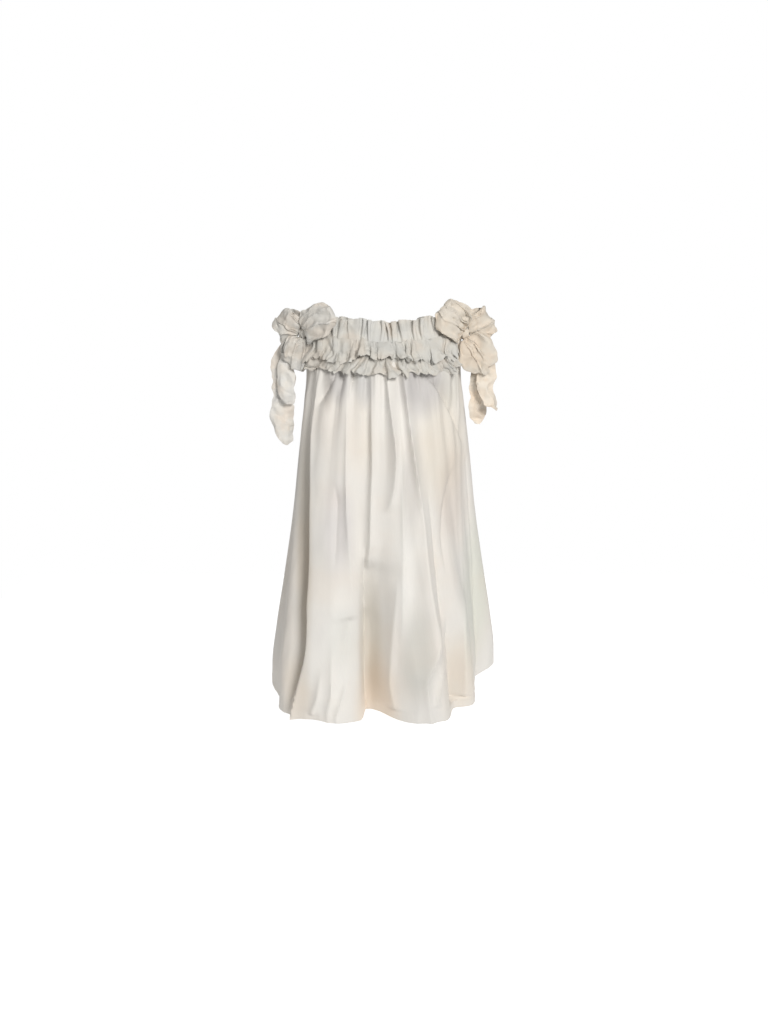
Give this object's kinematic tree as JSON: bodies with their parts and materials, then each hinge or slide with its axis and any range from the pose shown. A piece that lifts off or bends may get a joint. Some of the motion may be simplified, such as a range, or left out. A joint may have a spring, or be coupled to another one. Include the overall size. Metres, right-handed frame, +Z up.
{
  "type": "ruffle dress",
  "caption": "Hollow A-line dress with a gathered, frilled neckline and ties knotted in a bow on each shoulder, worn and filled out.",
  "frame": {"origin": "midway between the two shoulder bows, at the height of the straps, where the wearer's shoulders hold the dress up", "axes": "+X to the right of the front view, +Y to the back, +Z up towards the shoulders"},
  "size_m": [0.4842, 0.4314, 0.8216],
  "materials": {
    "front_panel": "crisp ivory cotton, dull with a slight sheen",
    "back_panel": "crisp ivory cotton, dull with a slight sheen",
    "front_casing": "crisp ivory cotton, dull with a slight sheen",
    "back_casing": "crisp ivory cotton, dull with a slight sheen",
    "front_header": "crisp ivory cotton, dull with a slight sheen",
    "back_header": "crisp ivory cotton, dull with a slight sheen",
    "front_upper_frill": "crisp ivory cotton, dull with a slight sheen",
    "back_upper_frill": "crisp ivory cotton, dull with a slight sheen",
    "front_lower_frill": "crisp ivory cotton, dull with a slight sheen",
    "back_lower_frill": "crisp ivory cotton, dull with a slight sheen",
    "left_knot": "crisp ivory cotton, dull with a slight sheen",
    "right_knot": "crisp ivory cotton, dull with a slight sheen",
    "left_strap": "crisp ivory cotton, dull with a slight sheen",
    "right_strap": "crisp ivory cotton, dull with a slight sheen",
    "left_upper_loop": "crisp ivory cotton, dull with a slight sheen",
    "left_outer_loop": "crisp ivory cotton, dull with a slight sheen",
    "left_lower_loop": "crisp ivory cotton, dull with a slight sheen",
    "right_upper_loop": "crisp ivory cotton, dull with a slight sheen",
    "right_outer_loop": "crisp ivory cotton, dull with a slight sheen",
    "right_lower_loop": "crisp ivory cotton, dull with a slight sheen",
    "left_long_tail": "crisp ivory cotton, dull with a slight sheen",
    "left_short_tail": "crisp ivory cotton, dull with a slight sheen",
    "right_long_tail": "crisp ivory cotton, dull with a slight sheen",
    "right_short_tail": "crisp ivory cotton, dull with a slight sheen"
  },
  "bodies": {
    "root": {"front_panel": "front_panel", "back_panel": "back_panel", "front_casing": "front_casing", "back_casing": "back_casing", "front_header": "front_header", "back_header": "back_header", "front_upper_frill": "front_upper_frill", "back_upper_frill": "back_upper_frill", "front_lower_frill": "front_lower_frill", "back_lower_frill": "back_lower_frill", "left_knot": "left_knot", "right_knot": "right_knot", "left_strap": "left_strap", "right_strap": "right_strap", "left_upper_loop": "left_upper_loop", "left_outer_loop": "left_outer_loop", "left_lower_loop": "left_lower_loop", "right_upper_loop": "right_upper_loop", "right_outer_loop": "right_outer_loop", "right_lower_loop": "right_lower_loop", "left_long_tail": "left_long_tail", "left_short_tail": "left_short_tail", "right_long_tail": "right_long_tail", "right_short_tail": "right_short_tail"}
  },
  "joints": []
}
